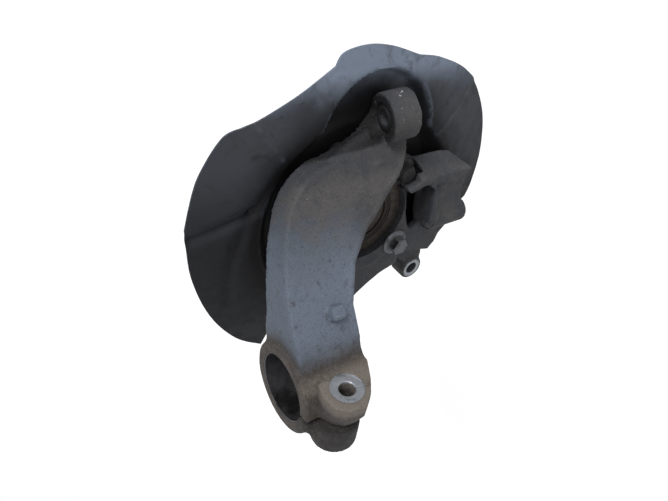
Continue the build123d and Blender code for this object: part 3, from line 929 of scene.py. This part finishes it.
def sheet_steel():
    """The shield's finish."""
    finish = Finish("painted_sheet", roughness=0.5, shine=0.16)
    cloud = finish.noise(46.0, 4.0, 0.6)
    patch = finish.noise(14.0, 5.0, 0.62, 0.6)
    grit = finish.noise(1.3, 3.0, 0.65)
    radius = finish.axis_distance((0.0, 0.0, 0.0), (0.0, 1.0, 0.0))
    point = finish.edges()
    band = (radius + cloud * 26).step(108.0, 142.0)
    front = (finish.x + cloud * 50).step(20.0, 110.0)
    # the deep middle, and the band on the side away from the key light, are painted near-black: painted shade
    colour = finish.mix(band * finish.blend(front, 0.18, 1.0), SHEET_SHADE_AND_GRIME, SHEET_PAINT)
    # the band's front lobe is painted lighter and bluer: a painted sheen
    colour = finish.mix(band * (finish.x + cloud * 30).step(112.0, 142.0) * 0.9, colour, SHEET_SHEEN_AND_RUB)
    colour = finish.mix(band * patch.step(0.52, 0.72) * front * 0.5, colour, SHEET_DUST)
    colour = finish.mix((1 - patch.step(0.28, 0.44)) * 0.5, colour, SHEET_SHADE_AND_GRIME)
    rub = (point.step(0.52, 0.58) * patch.step(0.42, 0.62)).clamped()
    colour = finish.mix(rub * 0.5, colour, SHEET_SHEEN_AND_RUB)
    finish.feed("Base Color", colour)
    finish.feed("Roughness", finish.blend(patch.step(0.3, 0.7), 0.42, 0.66))
    finish.bump(grit * 0.3 + finish.noise(4.0, 4.0, 0.6) * 0.7, 0.22, 0.6)
    return finish.material


FINISHES["sheet"] = sheet_steel()

# %% Dress every piece
def dress(piece, finish):
    """Gives a piece one finish."""
    piece.data.materials.clear()
    piece.data.materials.append(FINISHES[finish])


dress(casting, "casting")
dress(shield, "sheet")
dress(hub, "hub_steel")
for piece in hub_bolts + studs + screws:
    dress(piece, "fastener")
# the bolt sunk in its deep pocket is painted near-black as shade
dress(hub_bolts[-1], "shaded_fastener")
for piece in seals:
    dress(piece, "seal")
CAD_FINISHES = {
    "bearing_outer_ring": "bearing_steel", "bearing_inner_ring": "bearing_steel",
    "balls_inboard": "ball_steel", "balls_outboard": "ball_steel",
    "ball_cage_inboard": "cage", "ball_cage_outboard": "cage",
}
for node, finish in CAD_FINISHES.items():
    dress(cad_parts[node], finish)

# %% [markdown]
# ## Camera, light and floor
# The camera looks down on the arm from its inboard front corner. A plain pale floor lies below, two soft suns
# light the part, and the world is white wherever a camera or a mirror looks at it. The floor glows for the
# camera alone, so it looks white without lighting the part.

# %% Camera
CAMERA_AT = Vector((0.27110, -0.32529, 0.27055))
CAMERA_LOOK = Vector((-0.60903, 0.61934, -0.49547))
CAMERA_UP = Vector((0.78495, 0.56021, -0.26459))
CAMERA_LENS = 30.327


def add_camera():
    """A camera at its place, turned so that it looks along one vector with another one upwards."""
    data = bpy.data.cameras.new("camera")
    data.lens = CAMERA_LENS
    data.sensor_width = 36.0
    data.clip_start = 0.01
    camera = bpy.data.objects.new("camera", data)
    right = CAMERA_LOOK.cross(CAMERA_UP).normalized()
    turn = Matrix((right, right.cross(CAMERA_LOOK), -CAMERA_LOOK)).transposed()
    camera.matrix_world = Matrix.Translation(CAMERA_AT) @ turn.to_4x4()
    scene.collection.objects.link(camera)
    scene.camera = camera


add_camera()

# %% Light and floor
def add_sun(name, direction, strength, spread_degrees):
    """A soft sun that shines along a direction."""
    data = bpy.data.lights.new(name, "SUN")
    data.energy = strength
    data.angle = math.radians(spread_degrees)
    lamp = bpy.data.objects.new(name, data)
    lamp.rotation_euler = Vector(direction).to_track_quat("-Z", "Y").to_euler()
    scene.collection.objects.link(lamp)


add_sun("key", (-0.84, 0.16, -0.52), 2.2, 24)
add_sun("fill", (-0.10, 0.90, -0.30), 0.3, 60)

world = bpy.data.worlds.new("studio")
scene.world = world
world.use_nodes = True
sky = world.node_tree.nodes["Background"]
path = world.node_tree.nodes.new("ShaderNodeLightPath")
seen = world.node_tree.nodes.new("ShaderNodeMath")
seen.operation = "MAXIMUM"
seen_through = world.node_tree.nodes.new("ShaderNodeMath")
seen_through.operation = "MAXIMUM"
strength = world.node_tree.nodes.new("ShaderNodeMapRange")
AMBIENT = 0.34
strength.inputs["To Min"].default_value = AMBIENT
strength.inputs["To Max"].default_value = 1.0
links = world.node_tree.links
links.new(path.outputs["Is Camera Ray"], seen.inputs[0])
links.new(path.outputs["Is Glossy Ray"], seen.inputs[1])
links.new(seen.outputs[0], seen_through.inputs[0])
links.new(path.outputs["Is Transmission Ray"], seen_through.inputs[1])
links.new(seen_through.outputs[0], strength.inputs["Value"])
links.new(strength.outputs[0], sky.inputs["Strength"])
sky.inputs["Color"].default_value = (1, 1, 1, 1)

FLOOR_SIZE = 60
FLOOR_DROP = 0.25
PAPER = (0.93, 0.93, 0.93)
PAPER_GLOW = (0.42, 0.42, 0.42)
bm = bmesh.new()
bmesh.ops.create_grid(bm, x_segments=1, y_segments=1, size=FLOOR_SIZE,
                      matrix=Matrix.Translation((0, 0, cad_low.z - FLOOR_DROP)))
floor = to_object("floor", bm)
paper = Finish("pale_paper", roughness=0.9)
paper.surface.inputs["Base Color"].default_value = (*PAPER, 1)
paper.surface.inputs["Emission Strength"].default_value = 1.0
seen_by_camera = paper.node("ShaderNodeLightPath", out="Is Camera Ray")
paper.feed("Emission Color", paper.mix(seen_by_camera, (0, 0, 0), PAPER_GLOW))
floor.data.materials.append(paper.material)
scene.view_settings.view_transform = "Standard"
